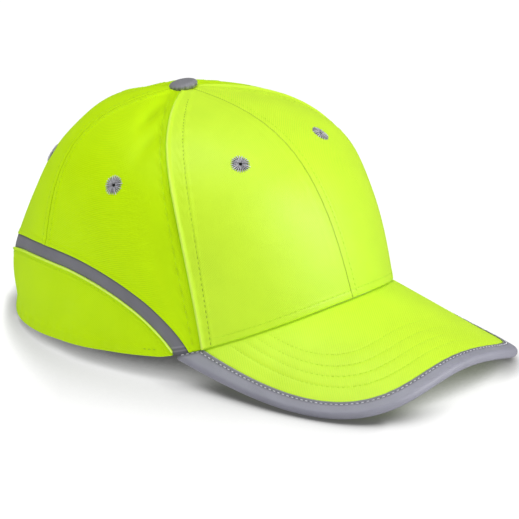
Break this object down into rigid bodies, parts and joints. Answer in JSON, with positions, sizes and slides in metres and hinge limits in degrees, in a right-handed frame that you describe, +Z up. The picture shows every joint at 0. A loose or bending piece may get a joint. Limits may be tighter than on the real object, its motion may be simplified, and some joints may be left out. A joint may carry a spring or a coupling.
{
  "type": "bump cap",
  "caption": "Baseball-style bump cap: sewn panel crown with reflective tape and bound visor over a vented impact shell with foam pads, closed at the back by a strap and lever buckle.",
  "frame": {"origin": "on the table under the middle of the head opening", "axes": "-Y to the front of the cap, +X to the wearer's left, +Z up, with the table at z = 0"},
  "size_m": [0.1698, 0.2679, 0.1203],
  "materials": {
    "hi_vis_fabric": "woven twill, fluorescent yellow",
    "reflective_tape": "grey retroreflective tape",
    "binding_tape": "light grey retroreflective binding",
    "stiffener": "stiff open weave",
    "lining_fabric": "plain weave tape",
    "grey_thread": "embroidered and covered in grey",
    "strap_fabric": "folded and stitched twill",
    "sweatband_fabric": "soft knitted terry",
    "foam": "closed cell foam",
    "shell_plastic": "moulded, fine texture",
    "board_plastic": "flexible sheet",
    "buckle_metal": "stamped steel"
  },
  "bodies": {
    "cap": {"front_panel_left": "hi_vis_fabric", "front_panel_right": "hi_vis_fabric", "side_panel_left": "hi_vis_fabric", "side_panel_right": "hi_vis_fabric", "rear_panel_left": "hi_vis_fabric", "rear_panel_right": "hi_vis_fabric", "lower_panel_left": "hi_vis_fabric", "lower_panel_right": "hi_vis_fabric", "reflective_tape_left": "reflective_tape", "reflective_tape_right": "reflective_tape", "front_stiffener_left": "stiffener", "front_stiffener_right": "stiffener", "seam_tapes": "lining_fabric", "arch_facing": "lining_fabric", "eyelets": "grey_thread", "top_button": "grey_thread", "button_stud": "buckle_metal", "visor_top_cover": "hi_vis_fabric", "visor_board": "board_plastic", "visor_under_cover": "hi_vis_fabric", "visor_binding": "binding_tape", "sweatband": "sweatband_fabric", "impact_shell": "shell_plastic", "hook_loop_dots": "sweatband_fabric", "front_pad": "foam", "side_pad_left": "foam", "side_pad_right": "foam", "rear_pad": "foam", "crown_pad": "foam", "strap_sleeve": "lining_fabric", "tuck_pocket": "lining_fabric", "anchor_strap": "strap_fabric", "buckle_frame": "buckle_metal", "buckle_pin": "buckle_metal"},
    "strap": {"free_strap": "strap_fabric"},
    "lever": {"buckle_lever": "buckle_metal"}
  },
  "joints": [
    {"name": "strap_adjust", "type": "hinge", "parent": "cap", "child": "strap", "pos_m": [0, 0.02947, 0], "axis": [0, 0, -1], "range_deg": [0, 16]},
    {"name": "buckle_lever_flip", "type": "hinge", "parent": "cap", "child": "lever", "pos_m": [0.01212, 0.09873, 0.0135], "axis": [0, 0, 1], "range_deg": [0, 105]}
  ]
}
